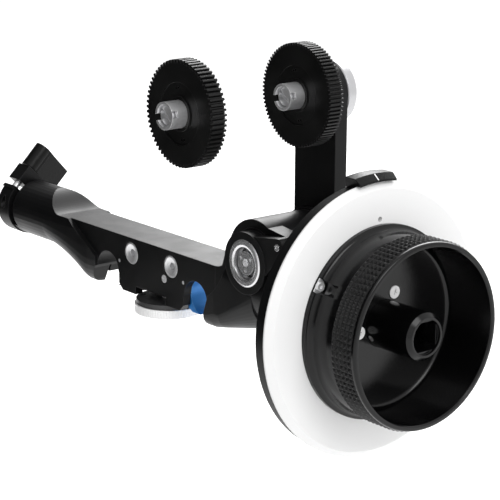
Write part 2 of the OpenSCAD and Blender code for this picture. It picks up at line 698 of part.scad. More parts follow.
module crank_hub() {
    color("#131314") at_wheel() difference() {
        union() {
            bar_x(hub_r, disc_x + 2, hub_end - hub_bevel);
            turned_x() polygon([[0, hub_end - hub_bevel - eps], [hub_r, hub_end - hub_bevel - eps],
                [hub_r - 1.5, hub_end], [0, hub_end]]);
        }
        bar_x(shaft_r + fit, disc_x, disc_x + 14.3);
        bar_x(hub_bolt_r + fit, disc_x, hub_end);
        translate([hub_end - crank_depth, 0, 0]) intersection() {
            translate([0, -crank_sq / 2, -crank_sq / 2]) cube([crank_depth + 1, crank_sq, crank_sq]);
            bar_x(crank_sq / 2 * 1.22, 0, crank_depth + 1);
        }
        // the round mouth of the socket
        bar_x(crank_sq / 2 * 1.22, hub_end - 1.2, hub_end + 1);
        rotate([206, 0, 0]) translate([set_screw_x, 0, 0]) bar_y(1.2 + fit, 2, hub_r + 1);
    }
}
module hub_bolt() {
    color("#3a3a3c") at_wheel() difference() {
        union() {
            bar_x(hub_bolt_r, disc_x + 5.4, hub_end - crank_depth + fit + eps);
            bar_x(3.4, hub_end - crank_depth + fit, hub_end - crank_depth + 2.4);
        }
        translate([hub_end - crank_depth + 1, 0, 0]) along_x() cylinder(r = 1.5, h = 4, $fn = 6);
    }
}
module floor_screws() {
    color("white") at_wheel() for (a = floor_screw_angles) rotate([a, 0, 0])
            translate([0, floor_screw_r, 0]) difference() {
        bar_x(floor_head_r, floor_x - 1.5, floor_x + 0.3);
        for (b = [0, 90]) rotate([b, 0, 0]) translate([floor_x - 0.4, -1.1, -0.25]) cube([2, 2.2, 0.5]);
    }
}
// Each screw sits on a bright seat that the flange's edge cuts off
module flange_screws() {
    color("silver") at_wheel() for (a = flange_screw_angles) rotate([a, 0, 0]) difference() {
        union() {
            intersection() {
                translate([0, flange_screw_r, 0]) bar_x(seat_r, seat_x + fit, seat_x + 0.5);
                bar_x(flange_r - 0.1, face_x, face_x + 3);
            }
            translate([0, flange_screw_r - 0.6, 0]) bar_x(1.6, seat_x + fit, seat_x + 1.5);
        }
        translate([seat_x + 0.8, flange_screw_r - 0.6, 0]) along_x() cylinder(r = 0.8, h = 3, $fn = 6);
    }
}
set_screw_x = floor_x + 1.8;
module hub_set_screw() {
    color("silver") at_wheel() rotate([206, 0, 0]) translate([set_screw_x, 0, 0]) difference() {
        bar_y(1.2, shaft_r + 0.2, hub_r - 0.1);
        translate([0, hub_r - 1.2, 0]) along_y() cylinder(r = 0.6, h = 3, $fn = 6);
    }
}
module index_ring() {
    back = disc_x - gap - ring_t;
    color("#1b1b1d") at_wheel() difference() {
        turned_x() polygon([[tube_r - 2 + fit, back + 1.2], [tube_r + 4, back + 1.2],
            [tube_r + 6, back + 1.9], [disc_r - 7, back + 1.9], [disc_r - 6, back],
            [disc_r - 1, back], [disc_r - 0.9, back + 0.1],
            [disc_r - 0.9, disc_x - gap], [tube_r - 2 + fit, disc_x - gap]]);
    }
}
index_angle = 91;
index_half = 9.6;
module index_arc(half) {
    rotate([index_angle - half, 0, 0]) rotate([0, 90, 0]) rotate([0, 0, 90])
        rotate_extrude(angle = 2 * half) children();
}
rim_r = disc_r - 0.9;
// The block stands on the ring's rim and reaches forward over the disc's rim, clear of it
block_r = rim_r + 4;
block_foot = disc_r + 0.35;
slope_x = disc_x + 0.3;
slope_end = face_x - 0.1;
slope_drop = 2.1;
slope_angle = atan2(slope_drop, slope_end - slope_x);
// Moves a flat piece onto the sloping front face of the index block
module on_slope() {
    rotate([index_angle - 90, 0, 0]) translate([slope_x, 0, block_r]) rotate([0, slope_angle, 0]) children();
}
module index_block() {
    back = disc_x - gap - ring_t;
    color("#171719") at_wheel() difference() {
        index_arc(index_half) polygon([[rim_r + fit, back], [block_r - 0.5, back], [block_r, back + 0.5],
            [block_r, slope_x], [block_r - slope_drop, slope_end], [block_foot, slope_end],
            [block_foot, disc_x - gap], [rim_r + fit, disc_x - gap]]);
        on_slope() translate([-6, -0.3, -0.3]) cube([14, 0.6, 2]);
    }
}
module index_mark() {
    color("white") at_wheel() on_slope() translate([0.1, -0.25, -0.27]) cube([3.1, 0.5, 0.27]);
}

// ---------------------------------------------------------------- swing arm
arm_y0 = barrel_back + 0.5;
arm_y1 = arm_y0 + arm_t;
arm_r = arm_w / 2;
skin = 1.2;
arm_wall = 1.6;
boss_x = arm_r - 3.8;
gear_y0 = arm_y0 + skin + 0.3;
gear_y1 = arm_y1 - 1.5;
pin_r = 1.5;
function arm_z(k) = out_z + k * arm_step;
// Each gear above the first has a gap below where its neighbour has a tooth
function arm_phase(k) = k == 0 ? 90 : -90 + (arm_teeth % 2 + k % 2 > 0 ? 180 / arm_teeth : 0);
module arm_outline(r) {
    for (z = [out_z, lens_z]) translate([out_x, z]) circle(r = r);
    translate([out_x - r, out_z]) square([2 * r, lens_z - out_z]);
}
module at_cover_screws() {
    for (s = [-1, 1], k = [0.5, 3.5]) translate([out_x + s * boss_x, 0, arm_z(k)]) children();
}
module arm_body() {
    color("#1a1a1c") difference() {
        union() {
            difference() {
                plate_y(arm_y0, arm_y1) arm_outline(arm_r);
                plate_y(arm_y0 + skin, arm_y1 + 1) arm_outline(arm_r - arm_wall);
            }
            at_cover_screws() bar_y(2.1, arm_y0 + skin - eps, arm_y1 - 1 - fit);
        }
        at_cover_screws() bar_y(0.8 + fit, arm_y0 + skin, arm_y1);
        at_out() bar_y(out_shaft_r + fit, arm_y0 - 1, arm_y1);
        at_lens() bar_y(out_shaft_r + fit, arm_y0 - 1, arm_y1);
    }
}
module arm_cover() {
    color("#1d1d1f") difference() {
        plate_y(arm_y1 - 1, arm_y1) arm_outline(arm_r - arm_wall - fit);
        at_cover_screws() bar_y(1.5 + fit, arm_y0, arm_y1 + 1);
        at_lens() bar_y(out_shaft_r + fit, arm_y0, arm_y1 + 1);
    }
}
module arm_cover_screws() {
    color("silver") at_cover_screws() difference() {
        union() {
            bar_y(1.5, arm_y1 - 1, arm_y1 + 0.1);
            bar_y(0.8, arm_y0 + skin + 0.4, arm_y1 - 1 + eps);
        }
        translate([0, arm_y1 - 0.5, 0]) along_y() cylinder(r = 0.6, h = 2, $fn = 6);
    }
}
module gear_pins() {
    color("silver") for (k = [1 : 3]) translate([out_x, 0, arm_z(k)])
        bar_y(pin_r, arm_y0 + skin, arm_y1 - 1);
}
module arm_gear(k, bore) {
    color("#c9a24a") translate([out_x, 0, arm_z(k)])
        gear_y(gear_m, arm_teeth, arm_phase(k), bore + fit, gear_y0, gear_y1);
}
module arm_input_gear() { arm_gear(0, out_shaft_r); }
module lower_idler() { arm_gear(1, pin_r); }
module middle_idler() { arm_gear(2, pin_r); }
module upper_idler() { arm_gear(3, pin_r); }
module arm_output_gear() { arm_gear(4, out_shaft_r); }

// ---------------------------------------------------------------- lens gears
lens_stand = 3.4;
lens_front = arm_y0 - lens_stand - lens_gear_w;
hub_web = 3.2;
lock_len = 4.6;
module lens_shaft() {
    color("silver") at_lens() difference() {
        union() {
            bar_y(out_shaft_r, lens_front - hub_web, arm_y1 + lock_len - 0.6);
            bar_y(7, lens_front + lens_gear_w + fit, arm_y0 - gap);
        }
        bar_y(1.5 + fit, lens_front - hub_web - 1, lens_front + 3);
    }
}
// A toothed disc with a shallow recess round its hub
module lens_disc(m, teeth) {
    recess_r = 11.5;
    color("#141416") difference() {
        plate_y(0, lens_gear_w) difference() {
            rotate(90) gear_2d(m, teeth, 0, 0.37, 0.19, 1.9);
            circle(r = gear_hub_r + fit);
        }
        difference() {
            bar_y(recess_r, -1, 0.5);
            bar_y(gear_hub_r + 1.3, -2, 1);
        }
        for (a = [80, 260], k = [-1, 1]) rotate([0, a + 4 * k, 0])
            translate([(gear_hub_r + 1.3 + recess_r) / 2 + 0.6, 0, 0]) bar_y(0.5, 0, 1.6);
    }
}
// A bright collet with two notches in its rim and a web for the screw
module gear_hub() {
    color("silver") difference() {
        bar_y(gear_hub_r, -gear_hub_len, lens_gear_w);
        bar_y(gear_hub_r - 1.1, -gear_hub_len - 1, -hub_web - 0.7);
        bar_y(1.5 + fit, -gear_hub_len, 0);
        bar_y(out_shaft_r + fit, -hub_web, lens_gear_w + 1);
        rotate([0, -12, 0]) translate([-gear_hub_r - 1, -gear_hub_len - 1, -1.2])
            cube([2 * gear_hub_r + 2, 3.4, 2.4]);
    }
}
module hub_screw() {
    color("silver") difference() {
        union() {
            bar_y(3.4, -gear_hub_len + 1.3, -hub_web - 0.75);
            bar_y(1.5, -hub_web - 0.8, 2.6);
        }
        rotate([0, 35, 0]) translate([-4, -gear_hub_len + 0.3, -0.5]) cube([8, 2, 1]);
    }
}
module at_mounted() { at_lens() translate([0, lens_front, 0]) children(); }
module at_spare() { translate([spare_x, -spare_out, spare_z]) children(); }
module lens_gear() { at_mounted() lens_disc(lens_m, lens_teeth); }
module lens_gear_hub() { at_mounted() gear_hub(); }
module lens_gear_screw() { at_mounted() hub_screw(); }
module spare_gear() { at_spare() lens_disc(spare_m, spare_teeth); }
module spare_gear_hub() { at_spare() gear_hub(); }
module spare_gear_screw() { at_spare() hub_screw(); }
module lock_knob() {
    y0 = arm_y1 + gap;
    color("#e8e8e8") at_lens() difference() {
        rotate([-90, 0, 0]) rotate_extrude() polygon([[0, y0], [lock_r - 0.4, y0], [lock_r, y0 + 0.4],
            [lock_r, y0 + lock_len - 0.7], [lock_r - 0.7, y0 + lock_len], [0, y0 + lock_len]]);
        bar_y(out_shaft_r + fit, y0 - 1, y0 + lock_len - 0.4);
    }
}

bridge_bar();
bar_screws();
jaw_pins();
guide_screw();
gear_housing();
housing_bolts();
front_cover();
port_ring();
cover_screws();
wheel_tube_cap();
shaft_bearings();
output_bearings();
lay_bushes();
spare_gear();
spare_gear_hub();
spare_gear_screw();
clamp_plate();
left_jaw();
right_jaw();
thumb_knob();
thumb_knob_disc();
clamp_screw();
clamp_lever();
lever_screw();
drive_shaft();
mitre_pinion();
marking_disc();
knob_body();
crank_hub();
hub_bolt();
floor_screws();
flange_screws();
hub_set_screw();
index_ring();
index_block();
index_mark();
lay_shaft();
mitre_wheel();
transfer_pinion();
output_shaft();
transfer_wheel();
port_boss();
arm_body();
arm_cover();
arm_cover_screws();
gear_pins();
arm_input_gear();
lower_idler();
middle_idler();
upper_idler();
lens_shaft();
arm_output_gear();
lens_gear();
lens_gear_hub();
lens_gear_screw();
lock_knob();
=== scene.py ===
import math

import bmesh
import bpy
from mathutils import Matrix, Vector


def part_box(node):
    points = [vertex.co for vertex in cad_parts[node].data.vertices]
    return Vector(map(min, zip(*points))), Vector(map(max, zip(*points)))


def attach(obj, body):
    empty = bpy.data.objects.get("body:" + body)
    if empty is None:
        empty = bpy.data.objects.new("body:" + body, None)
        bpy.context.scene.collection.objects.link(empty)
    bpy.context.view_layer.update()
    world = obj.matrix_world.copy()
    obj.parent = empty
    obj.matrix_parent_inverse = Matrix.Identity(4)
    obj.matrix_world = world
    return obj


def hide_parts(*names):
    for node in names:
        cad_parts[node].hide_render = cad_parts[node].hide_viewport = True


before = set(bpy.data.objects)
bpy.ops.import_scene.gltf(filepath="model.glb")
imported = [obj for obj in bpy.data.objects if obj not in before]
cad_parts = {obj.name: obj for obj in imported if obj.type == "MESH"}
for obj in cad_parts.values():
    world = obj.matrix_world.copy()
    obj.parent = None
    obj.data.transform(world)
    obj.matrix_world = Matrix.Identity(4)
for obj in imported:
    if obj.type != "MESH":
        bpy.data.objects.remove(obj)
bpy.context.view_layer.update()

MM = 0.001


# ---- Camera. It stands in front of the unit's right end, a little above it, and looks
# down along the bridge. The lens is long, so the unit keeps nearly parallel edges.
def linked_object(name, data):
    thing = bpy.data.objects.new(name, data)
    bpy.context.scene.collection.objects.link(thing)
    return thing


azimuth, downward, lean = (math.radians(degrees) for degrees in (50.908, 14.613, -0.405))
camera_place = (0.65439, -0.48850, 0.22565)
lens_length = 148.1
sensor_width = 36
right = Vector((math.cos(azimuth), math.sin(azimuth), 0))
ahead = Vector((-math.sin(azimuth) * math.cos(downward),
                math.cos(azimuth) * math.cos(downward), -math.sin(downward)))
up = right.cross(ahead)
leaning_right = right * math.cos(lean) - up * math.sin(lean)
leaning_up = up * math.cos(lean) + right * math.sin(lean)
camera_data = bpy.data.cameras.new("camera")
camera_data.lens = lens_length
camera_data.sensor_width = sensor_width
camera = linked_object("camera", camera_data)
turn = Matrix((leaning_right, leaning_up, -ahead)).transposed().to_4x4()
camera.matrix_world = Matrix.Translation(camera_place) @ turn
bpy.context.scene.camera = camera
bpy.context.scene.view_settings.view_transform = "Standard"


# ---- Studio. A white tent lights the unit from all round. Its front left corner, beside
# the camera, is left dark, so the black faces that look that way stay black.
def wire(tree, source, target):
    tree.links.new(source, target)


def math_node(tree, operation, *values):
    node = tree.nodes.new("ShaderNodeMath")
    node.operation = operation
    for socket, value in zip(node.inputs, values):
        if isinstance(value, bpy.types.NodeSocket):
            wire(tree, value, socket)
        else:
            socket.default_value = value
    return node.outputs[0]


def range_node(tree, value, low, high, to_low, to_high):
    node = tree.nodes.new("ShaderNodeMapRange")
    node.interpolation_type = "SMOOTHSTEP"
    wire(tree, value, node.inputs["Value"])
    for label, number in (("From Min", low), ("From Max", high), ("To Min", to_low), ("To Max", to_high)):
        node.inputs[label].default_value = number
    return node.outputs["Result"]


dark_corner = Vector((-0.78, -0.60, 0.10)).normalized()
dark_from, dark_to = 0.20, 0.82
bright_strength, dark_strength = 1.15, 0.08
tent = bpy.data.worlds.new("white_tent")
bpy.context.scene.world = tent
tent.use_nodes = True
tree = tent.node_tree
sky_way = tree.nodes.new("ShaderNodeTexCoord").outputs["Generated"]
towards = tree.nodes.new("ShaderNodeVectorMath")
towards.operation = "DOT_PRODUCT"
wire(tree, sky_way, towards.inputs[0])
towards.inputs[1].default_value = dark_corner
tent_light = range_node(tree, towards.outputs["Value"], dark_from, dark_to, bright_strength, dark_strength)
seen = tree.nodes.new("ShaderNodeLightPath").outputs["Is Camera Ray"]
wire(tree, math_node(tree, "MAXIMUM", tent_light, seen), tree.nodes["Background"].inputs["Strength"])
tree.nodes["Background"].inputs["Color"].default_value = (1, 1, 1, 1)

# ---- Floor. A wide sheet of white paper under the unit, which hangs over it on its rods.
floor_z = -0.20
floor_half = 8
floor_glow = 0.3
floor_corners = [(floor_half * x, floor_half * y, floor_z) for x, y in ((-1, -1), (1, -1), (1, 1), (-1, 1))]
floor_mesh = bpy.data.meshes.new("floor")
floor_mesh.from_pydata(floor_corners, [], [(0, 1, 2, 3)])
floor = linked_object("floor", floor_mesh)
paper = bpy.data.materials.new("white_paper")
paper.use_nodes = True
tree = paper.node_tree
shader = tree.nodes["Principled BSDF"]
shader.inputs["Base Color"].default_value = (0.85, 0.85, 0.85, 1)
shader.inputs["Roughness"].default_value = 0.9
shader.inputs["Specular IOR Level"].default_value = 0
paths = tree.nodes.new("ShaderNodeLightPath")
direct = math_node(tree, "MAXIMUM", paths.outputs["Is Camera Ray"], paths.outputs["Is Glossy Ray"])
direct = math_node(tree, "MAXIMUM", direct, paths.outputs["Is Transmission Ray"])
shader.inputs["Emission Color"].default_value = (1, 1, 1, 1)
wire(tree, math_node(tree, "MULTIPLY", direct, floor_glow), shader.inputs["Emission Strength"])
floor_mesh.materials.append(paper)

# ---- Black cloth. It hangs at the front left beside the camera and runs out under it on the
# floor, so the black faces that look that way mirror something black.
cloth_sides = (-0.42, 0.60)
cloth_shift = 0.05
lying = floor_z + 2 * MM
cloth_run = ((0.46, lying), (0.62, lying), (0.70, -0.16), (0.72, 0.22))
outward = Vector((dark_corner.x, dark_corner.y, 0)).normalized()
cloth_points = [(outward.x * away - outward.y * side,
                 outward.y * away + outward.x * side - cloth_shift, height)
                for away, height in cloth_run for side in cloth_sides]
cloth_mesh = bpy.data.meshes.new("black_cloth")
cloth_mesh.from_pydata(cloth_points, [], [(k, k + 1, k + 3, k + 2) for k in (0, 2, 4)])
cloth = linked_object("black_cloth", cloth_mesh)
cloth.visible_camera = False
felt = bpy.data.materials.new("black_felt")
felt.use_nodes = True
shader = felt.node_tree.nodes["Principled BSDF"]
shader.inputs["Base Color"].default_value = (0.01, 0.01, 0.01, 1)
shader.inputs["Specular IOR Level"].default_value = 0
cloth_mesh.materials.append(felt)

# ---- Softboxes. One square lamp high on the right lights the white disc's face, and one
# above the rear draws soft highlights along the tops of the black pieces.
lamp_target = Vector((0.05, 0, 0.03))
for name, size, power, place in (("right_softbox", 0.8, 8, (1.3, -0.1, 1.0)),
                                 ("rear_softbox", 0.9, 14, (-0.55, 0.85, 0.75))):
    lamp = bpy.data.lights.new(name, "AREA")
    lamp.size = size
    lamp.energy = power
    softbox = linked_object(name, lamp)
    softbox.location = place
    softbox.rotation_euler = (lamp_target - softbox.location).to_track_quat("-Z", "Y").to_euler()


# ---- Bridge bar. One milled and bead-blasted aluminium body, black anodised: the bar over
# the rods, its two notches, the round leg at the left and the split clamp band at its end.
def new_group(name, inputs, outputs):
    group = bpy.data.node_groups.new(name, "ShaderNodeTree")
    for label, kind, value in inputs:
        socket = group.interface.new_socket(label, in_out="INPUT", socket_type="NodeSocket" + kind)
        socket.default_value = value
    for label, kind in outputs:
        group.interface.new_socket(label, in_out="OUTPUT", socket_type="NodeSocket" + kind)
    return group, group.nodes.new("NodeGroupInput").outputs, group.nodes.new("NodeGroupOutput").inputs


def noise_node(tree, vector, scale, detail):
    node = tree.nodes.new("ShaderNodeTexNoise")
    wire(tree, vector, node.inputs["Vector"])
    if isinstance(scale, bpy.types.NodeSocket):
        wire(tree, scale, node.inputs["Scale"])
    else:
        node.inputs["Scale"].default_value = scale
    node.inputs["Detail"].default_value = detail
    return node.outputs["Fac"]


def blasted_surface():
    """Rounded edges with a fine grain, a mask of the edges that are partly worn and partly given a painted
    highlight, and a slow mottle.
    """
    mottle_scale = 60
    edge_starts, edge_ends = 0.995, 0.80
    patch_from, patch_to, patch_floor = 0.38, 0.58, 0.25
    inputs = [("Grain Scale", "Float", 3000), ("Grain Height", "Float", 0.02 * MM),
              ("Edge Radius", "Float", 0.3 * MM)]
    outputs = [("Normal", "Vector"), ("Worn Edges", "Float"), ("Mottle", "Float")]
    group, given, made = new_group("blasted_surface", inputs, outputs)
    place = group.nodes.new("ShaderNodeTexCoord").outputs["Object"]
    grain = noise_node(group, place, given["Grain Scale"], 2)
    mottle = noise_node(group, place, mottle_scale, 4)
    round_edge = group.nodes.new("ShaderNodeBevel")
    round_edge.samples = 6
    wire(group, given["Edge Radius"], round_edge.inputs["Radius"])
    bump = group.nodes.new("ShaderNodeBump")
    wire(group, grain, bump.inputs["Height"])
    wire(group, given["Grain Height"], bump.inputs["Distance"])
    wire(group, round_edge.outputs["Normal"], bump.inputs["Normal"])
    agree = group.nodes.new("ShaderNodeVectorMath")
    agree.operation = "DOT_PRODUCT"
    wire(group, round_edge.outputs["Normal"], agree.inputs[0])
    wire(group, group.nodes.new("ShaderNodeNewGeometry").outputs["Normal"], agree.inputs[1])
    # Edge mask, where the bevelled normal leaves the true normal. It lightens the colour there: partly wear,
    # partly a painted highlight along the edges.
    edges = range_node(group, agree.outputs["Value"], edge_starts, edge_ends, 0, 1)
    patches = range_node(group, mottle, patch_from, patch_to, patch_floor, 1)
    wire(group, bump.outputs["Normal"], made["Normal"])
    wire(group, math_node(group, "MULTIPLY", edges, patches), made["Worn Edges"])
    wire(group, mottle, made["Mottle"])
    return group


surface_group = blasted_surface()


def finish(name, base, edge_wear_and_highlight, rough, rough_spread, grain=3000, grain_height=0.02, edge=0.3, metallic=0,
           specular=0.5):
    """A blasted, moulded or machined surface: its colour, its lighter colour on the edges, which is partly
    wear and partly a painted highlight, and its roughness. The grain's height and the edges' radius are in
    millimetres."""
    material = bpy.data.materials.new(name)
    material.use_nodes = True
    tree = material.node_tree
    shader = tree.nodes["Principled BSDF"]
    surface = tree.nodes.new("ShaderNodeGroup")
    surface.node_tree = surface_group
    surface.inputs["Grain Scale"].default_value = grain
    surface.inputs["Grain Height"].default_value = grain_height * MM
    surface.inputs["Edge Radius"].default_value = edge * MM
    colour = tree.nodes.new("ShaderNodeMix")
    colour.data_type = "RGBA"
    mix_factor, mix_first, mix_second = (colour.inputs[place] for place in (0, 6, 7))
    # The edges take the second, lighter colour: partly wear, partly a painted highlight along them.
    wire(tree, surface.outputs["Worn Edges"], mix_factor)
    mix_first.default_value = (*base, 1)
    mix_second.default_value = (*edge_wear_and_highlight, 1)
    wire(tree, colour.outputs[2], shader.inputs["Base Color"])
    smoothest, roughest = rough - rough_spread, rough + rough_spread
    roughness = range_node(tree, surface.outputs["Mottle"], 0.3, 0.7, smoothest, roughest)
    wire(tree, roughness, shader.inputs["Roughness"])
    wire(tree, surface.outputs["Normal"], shader.inputs["Normal"])
    shader.inputs["Metallic"].default_value = metallic
    shader.inputs["Specular IOR Level"].default_value = specular
    return material


def dress(material, *names):
    for name in names:
        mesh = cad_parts[name].data
        mesh.materials.clear()
        mesh.materials.append(material)


black_anodised = finish("black_anodised", (0.004, 0.004, 0.0043), (0.03, 0.03, 0.031), 0.34, 0.05,
                        specular=0.18)
dress(black_anodised, "bridge_bar")


# ---- Steel fittings of the bar. Two countersunk screws, the jaws' pivot pins and a small
# guide screw, all turned stainless steel, pressed or screwed into the bar.
def turned_surface():
    """The height of fine lathe rings about an axis."""
    inputs = [("Centre", "Vector", (0, 0, 0)), ("Axis", "Vector", (0, 1, 0)), ("Pitch", "Float", 0.2 * MM)]
    group, given, made = new_group("turned_surface", inputs, [("Height", "Float")])
    place = group.nodes.new("ShaderNodeTexCoord").outputs["Object"]
    arm = group.nodes.new("ShaderNodeVectorMath")
    arm.operation = "SUBTRACT"
    wire(group, place, arm.inputs[0])
    wire(group, given["Centre"], arm.inputs[1])
    cross = group.nodes.new("ShaderNodeVectorMath")
    cross.operation = "CROSS_PRODUCT"
    wire(group, arm.outputs["Vector"], cross.inputs[0])
    wire(group, given["Axis"], cross.inputs[1])
    radius = group.nodes.new("ShaderNodeVectorMath")
    radius.operation = "LENGTH"
    wire(group, cross.outputs["Vector"], radius.inputs[0])
    rings = math_node(group, "DIVIDE", radius.outputs["Value"], given["Pitch"])
    line = group.nodes.new("ShaderNodeCombineXYZ")
    wire(group, rings, line.inputs["X"])
    wire(group, noise_node(group, line.outputs["Vector"], 1.0, 3), made["Height"])
    return group


turned_group = turned_surface()


def turned_finish(name, base, edge_wear_and_highlight, rough, centre, axis, pitch=0.12, depth=0.006, **more):
    """A lathe-turned face: the finish above, with fine rings about its axis."""
    material = finish(name, base, edge_wear_and_highlight, rough, 0.04, **more)
    tree = material.node_tree
    shader = tree.nodes["Principled BSDF"]
    rings = tree.nodes.new("ShaderNodeGroup")
    rings.node_tree = turned_group
    rings.inputs["Centre"].default_value = centre
    rings.inputs["Axis"].default_value = axis
    rings.inputs["Pitch"].default_value = pitch * MM
    bump = tree.nodes.new("ShaderNodeBump")
    bump.inputs["Distance"].default_value = depth * MM
    wire(tree, rings.outputs["Height"], bump.inputs["Height"])
    wire(tree, shader.inputs["Normal"].links[0].from_socket, bump.inputs["Normal"])
    wire(tree, bump.outputs["Normal"], shader.inputs["Normal"])
    return material


def middle(name):
    low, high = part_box(name)
    return (low + high) / 2


steel = (0.72, 0.72, 0.73)
bright_steel = finish("bright_steel", steel, (0.85, 0.85, 0.86), 0.34, 0.05, grain_height=0.004, edge=0.15,
                      metallic=0.7)
dress(bright_steel, "bar_screws", "jaw_pins", "guide_screw")


# ---- Gear housing. The cast and milled aluminium body right of the rods, with a barrel for
# the output shaft and a tube for the handwheel shaft. Two bolts hold it to the bar's end.
dress(black_anodised, "gear_housing", "wheel_tube_cap")
blackened = finish("blackened_steel", (0.03, 0.03, 0.032), (0.10, 0.10, 0.10), 0.35, 0.06, edge=0.2,
                   metallic=0.6)
dress(blackened, "housing_bolts", "hub_bolt")

# ---- Front cover and drive port. The cover is a black turned plate with an ear for its
# screw. A bright steel ring and the boss of the output shaft sit in its middle.
dress(black_anodised, "front_cover")
port_axis = (0, 1, 0)
port_steel = turned_finish("port_steel", steel, (0.9, 0.9, 0.9), 0.26, middle("port_ring"), port_axis,
                           grain_height=0.003, edge=0.2, metallic=0.85)
dress(port_steel, "port_ring", "port_boss", "cover_screws", "output_shaft")

# ---- Bearings, bushes and gears inside the housing: bright ball bearings, bronze bushes and
# brass gears on steel shafts. They show through the openings only.
dress(bright_steel, "shaft_bearings", "output_bearings", "drive_shaft", "lay_shaft", "gear_pins",
      "arm_cover_screws", "lens_shaft")
brass = finish("gear_brass", (0.60, 0.44, 0.18), (0.75, 0.6, 0.3), 0.30, 0.06, grain_height=0.005, edge=0.1,
               metallic=1)
dress(brass, "lay_bushes", "mitre_pinion", "mitre_wheel", "transfer_pinion", "transfer_wheel",
      "arm_input_gear", "lower_idler", "middle_idler", "upper_idler", "arm_output_gear")

# ---- Rod clamp. Two aluminium jaws on pins, the right one anodised blue and the left one
# black, a steel plate that lifts their tails, and the ribbed thumb knob under the bar.
blue_anodised = finish("blue_anodised", (0.028, 0.20, 0.56), (0.20, 0.42, 0.75), 0.30, 0.05, metallic=0.35)
dress(blue_anodised, "right_jaw")
dress(black_anodised, "left_jaw", "clamp_plate")
bright_alu = finish("bright_aluminium", (0.9, 0.9, 0.9), (0.94, 0.94, 0.94), 0.38, 0.06,
                    grain_height=0.006, edge=0.2, metallic=0.3)
dress(bright_alu, "thumb_knob")
dress(bright_steel, "clamp_screw")
dark_plate = turned_finish("dark_turned_plate", (0.03, 0.03, 0.031), (0.08, 0.08, 0.08), 0.4,
                           middle("thumb_knob_disc"), (0, 0, 1))
dress(dark_plate, "thumb_knob_disc")

# ---- Left clamp lever. A moulded black wing on a steel screw, which draws the split band
# round the accessory in the receiver.
wing_black = finish("moulded_black", (0.003, 0.003, 0.003), (0.012, 0.012, 0.012), 0.32, 0.06, grain=900,
                    grain_height=0.04, edge=0.4, specular=0.15)
dress(wing_black, "clamp_lever")
dress(bright_steel, "lever_screw")

# ---- Marking disc. A white plastic disc on the handwheel that takes pencil marks. Its rim is
# bevelled, and a small pin hole stands at the top.
disc_low, disc_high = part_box("marking_disc")
wheel_centre = (disc_low + disc_high) / 2
white_plastic = finish("white_marking_plastic", (0.80, 0.80, 0.80), (0.85, 0.85, 0.85), 0.45, 0.05,
                       grain=1500, grain_height=0.01, edge=0.2, specular=0.35)
dress(white_plastic, "marking_disc")


# ---- Knob body. A deep dished handwheel turned from black aluminium: a flange against the
# disc, a waist, a knurled band and a rounded lip. Screws sit in pockets in its flange and in
# recesses in its floor.
def add_piece(name, mesh, body):
    piece = linked_object(name, mesh)
    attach(piece, body)
    return piece


def smooth_but_edges(mesh):
    mesh.shade_smooth()
    mesh.set_sharp_from_angle(angle=math.radians(28))


def turned_mesh(name, outline, steps=192):
    """Turns a closed outline of (radius, along X) points about the handwheel's axis."""
    count = len(outline)
    points = []
    for i in range(steps):
        angle = math.tau * i / steps
        points += [(x, wheel_centre.y - r * math.sin(angle), wheel_centre.z + r * math.cos(angle))
                   for r, x in outline]
    faces = [(i * count + k, i * count + (k + 1) % count, (i + 1) % steps * count + (k + 1) % count,
              (i + 1) % steps * count + k) for i in range(steps) for k in range(count)]
    mesh = bpy.data.meshes.new(name)
    mesh.from_pydata(points, [], faces)
    tidy = bmesh.new()
    tidy.from_mesh(mesh)
    bmesh.ops.recalc_face_normals(tidy, faces=tidy.faces)
    tidy.to_mesh(mesh)
    tidy.free()
    smooth_but_edges(mesh)
    return mesh


def arc(centre_r, centre_x, radius_r, radius_x, first, last, steps):
    """Points of a round stretch of an outline, between two angles in degrees."""
    turns = [math.radians(first + (last - first) * i / steps) for i in range(steps + 1)]
    return [(centre_r + radius_r * math.cos(a), centre_x + radius_x * math.sin(a)) for a in turns]


def drilled(mesh, holes, steps=48):
    """Cuts round holes along X. Each hole is its radius, its distance from the wheel's axis, its
    turn about that axis in degrees, and its start and end along X."""
    drills = bmesh.new()
    along_x = Matrix.Rotation(math.pi / 2, 4, "Y")
    for radius, reach, turn, start, end in holes:
        place = to_wheel @ Matrix.Rotation(math.radians(turn), 4, "X")
        place = place @ Matrix.Translation(((start + end) / 2, reach, 0)) @ along_x
        bmesh.ops.create_cone(drills, cap_ends=True, segments=steps, radius1=radius, radius2=radius,
                              depth=end - start, matrix=place)
    drill_mesh = bpy.data.meshes.new("drills")
    drills.to_mesh(drill_mesh)
    drills.free()
    tool = linked_object("drills", drill_mesh)
    blank = linked_object("blank", mesh)
    cut = blank.modifiers.new("cut", "BOOLEAN")
    cut.operation = "DIFFERENCE"
    cut.solver = "EXACT"
    cut.object = tool
    bpy.context.view_layer.update()
    result = bpy.data.meshes.new_from_object(blank.evaluated_get(bpy.context.evaluated_depsgraph_get()))
    for thing in (tool, blank):
        bpy.data.objects.remove(thing)
    result.name = mesh.name + "_drilled"
    smooth_but_edges(result)
    return result


knob_low, knob_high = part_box("knob_body")
hub_low, hub_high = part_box("crank_hub")
face_x = disc_high.x
lip_x = knob_high.x
flange_r = (knob_high.z - knob_low.z) / 2
hub_r = (hub_high.z - hub_low.z) / 2
to_wheel = Matrix.Translation((0, wheel_centre.y, wheel_centre.z))

# The radii of the knob, from its flange inwards, and its stations along the axis
play = 0.05 * MM
spigot_r = 30 * MM
waist_r = flange_r - 2.6 * MM
grip_r = flange_r - 1.2 * MM
core_r = grip_r - 0.62 * MM
dish_r = grip_r - 3.2 * MM
flange_edge = face_x + 1.6 * MM
cove_end = face_x + 6.4 * MM
floor_x = face_x + 3.4 * MM
grip_x = lip_x - 12.1 * MM
grip_end = lip_x - 1.7 * MM

